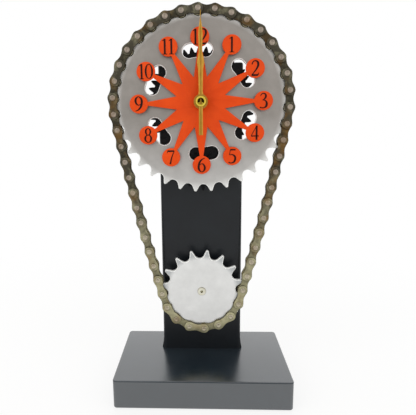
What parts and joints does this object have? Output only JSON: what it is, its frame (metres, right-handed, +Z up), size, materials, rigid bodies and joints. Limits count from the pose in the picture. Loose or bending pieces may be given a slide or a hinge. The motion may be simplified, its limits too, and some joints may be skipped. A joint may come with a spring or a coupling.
{
  "type": "table clock",
  "caption": "Table clock with an orange star dial in front of a large chain sprocket, a chain down to a small sprocket, a dark column and a black base.",
  "frame": {"origin": "middle of the footprint, on the table under the rubber pads", "axes": "+Z up, +X to the right seen from the dial's side, +Y away from the viewer, so the dial faces -Y"},
  "size_m": [0.1456, 0.084, 0.3105],
  "materials": {
    "black_lacquer": "gloss lacquer",
    "column_paint": "satin powder coat",
    "pad_rubber": "matt",
    "bracket_steel": "zinc plated",
    "screw_steel": "zinc plated",
    "disc_steel": "satin",
    "bright_steel": "fine satin with bright bevels",
    "gear_black": "black oxide",
    "bronze": "plain bearing bronze",
    "axle_brass": "turned",
    "pale_brass": "nickel plated",
    "chain_outer": "oiled, brownish",
    "chain_inner": "oiled, brownish",
    "chain_pin": "riveted ends",
    "star_orange": "satin lacquer",
    "numeral_black": "printed ink",
    "hand_brass": "polished",
    "nut_brass": "polished",
    "movement_plastic": "moulded",
    "wheel_plastic": "moulded acetal",
    "gasket_rubber": "matt",
    "coil_copper": "enamelled copper wire",
    "bobbin_plastic": "moulded",
    "stator_iron": "stamped sheet",
    "board_laminate": "solder mask",
    "contact_metal": "nickel plated",
    "cell_sleeve": "plain wrapped sleeve",
    "motor_steel": "drawn can",
    "motor_plastic": "moulded",
    "holder_plastic": "moulded",
    "slider_plastic": "moulded"
  },
  "bodies": {
    "stand": {"base_block": "black_lacquer", "foot_pads": "pad_rubber", "foot_bracket": "bracket_steel", "foot_screws": "screw_steel", "foot_flares": "column_paint", "column": "column_paint", "idler_axle": "pale_brass", "idler_spacer": "bracket_steel", "idler_washer": "screw_steel", "idler_nut": "screw_steel", "centre_sleeve": "bracket_steel", "front_collar": "axle_brass", "star_dial": "star_orange", "dial_numerals": "numeral_black", "dial_washer": "nut_brass", "dial_nut": "nut_brass", "movement_cover": "movement_plastic", "movement_case": "movement_plastic", "movement_gasket": "gasket_rubber", "coil_bobbin": "bobbin_plastic", "coil_winding": "coil_copper", "stator": "stator_iron", "circuit_board": "board_laminate", "cell_contacts": "contact_metal", "movement_cell": "cell_sleeve", "motor_can": "motor_steel", "motor_gearbox": "nut_brass", "motor_end_cap": "motor_plastic", "motor_clamp": "motor_plastic", "clamp_screws": "screw_steel", "battery_holder": "holder_plastic", "motor_cells": "cell_sleeve", "cell_springs": "contact_metal", "switch_body": "holder_plastic", "chain_outer_plates": "chain_outer", "chain_inner_plates": "chain_inner", "chain_bushings": "chain_inner", "chain_rollers": "chain_pin", "chain_pins": "chain_pin"},
    "small_wheel": {"small_sprocket": "bright_steel", "idler_bush": "bronze"},
    "large_wheel": {"large_sprocket": "disc_steel", "drive_gear": "gear_black", "gear_screws": "screw_steel", "sprocket_bush": "bronze"},
    "motor_output": {"motor_pinion": "gear_black", "output_shaft": "motor_steel"},
    "minute": {"minute_hand": "hand_brass", "minute_arbor": "nut_brass"},
    "hour": {"hour_hand": "hand_brass", "hour_wheel": "wheel_plastic"},
    "motion": {"motion_wheel": "wheel_plastic"},
    "setting": {"setting_knob": "movement_plastic"},
    "second": {"second_hand": "hand_brass", "second_arbor": "bracket_steel"},
    "third": {"third_wheel": "wheel_plastic"},
    "centre": {"centre_wheel": "wheel_plastic"},
    "step": {"step_wheel": "wheel_plastic"},
    "rotor_body": {"rotor": "stator_iron"},
    "switch": {"switch_slider": "slider_plastic"}
  },
  "joints": [
    {"name": "small_sprocket_turn", "type": "hinge", "parent": "stand", "child": "small_wheel", "pos_m": [0, 0, 0.0831], "axis": [0, 1, 0], "continuous": true, "deforming": ["chain_outer_plates", "chain_inner_plates", "chain_bushings", "chain_rollers", "chain_pins"]},
    {"name": "large_sprocket_turn", "type": "hinge", "parent": "stand", "child": "large_wheel", "pos_m": [0, 0, 0.23754], "axis": [0, 1, 0], "continuous": true},
    {"name": "motor_output_turn", "type": "hinge", "parent": "stand", "child": "motor_output", "pos_m": [0, 0, 0.18334], "axis": [0, 1, 0], "continuous": true},
    {"name": "minute_turn", "type": "hinge", "parent": "stand", "child": "minute", "pos_m": [0, 0, 0.23754], "axis": [0, 1, 0], "continuous": true},
    {"name": "hour_turn", "type": "hinge", "parent": "stand", "child": "hour", "pos_m": [0, 0, 0.23754], "axis": [0, 1, 0], "continuous": true},
    {"name": "motion_turn", "type": "hinge", "parent": "stand", "child": "motion", "pos_m": [-0.008, 0, 0.23754], "axis": [0, 1, 0], "continuous": true},
    {"name": "setting_turn", "type": "hinge", "parent": "stand", "child": "setting", "pos_m": [-0.01573, 0, 0.23547], "axis": [0, 1, 0], "continuous": true},
    {"name": "second_turn", "type": "hinge", "parent": "stand", "child": "second", "pos_m": [0, 0, 0.23754], "axis": [0, 1, 0], "continuous": true},
    {"name": "third_turn", "type": "hinge", "parent": "stand", "child": "third", "pos_m": [0.00764, 0, 0.24518], "axis": [0, 1, 0], "continuous": true},
    {"name": "centre_turn", "type": "hinge", "parent": "stand", "child": "centre", "pos_m": [0, 0, 0.23754], "axis": [0, 1, 0], "continuous": true},
    {"name": "step_turn", "type": "hinge", "parent": "stand", "child": "step", "pos_m": [-0.004, 0, 0.24447], "axis": [0, 1, 0], "continuous": true},
    {"name": "rotor_turn", "type": "hinge", "parent": "stand", "child": "rotor_body", "pos_m": [-0.00937, 0, 0.24985], "axis": [0, 1, 0], "continuous": true},
    {"name": "switch_slide", "type": "slide", "parent": "stand", "child": "switch", "axis": [1, 0, 0], "range_m": [0, 0.003]}
  ],
  "couplings": [
    {"joint": "large_sprocket_turn", "follows": "small_sprocket_turn", "ratio": 0.47059},
    {"joint": "motor_output_turn", "follows": "small_sprocket_turn", "ratio": -1.4118},
    {"joint": "motion_turn", "follows": "minute_turn", "ratio": -0.33333},
    {"joint": "hour_turn", "follows": "minute_turn", "ratio": 0.083333},
    {"joint": "setting_turn", "follows": "minute_turn", "ratio": 1},
    {"joint": "third_turn", "follows": "second_turn", "ratio": -0.13333},
    {"joint": "centre_turn", "follows": "second_turn", "ratio": 0.016667},
    {"joint": "step_turn", "follows": "second_turn", "ratio": -4},
    {"joint": "rotor_turn", "follows": "second_turn", "ratio": 30}
  ]
}
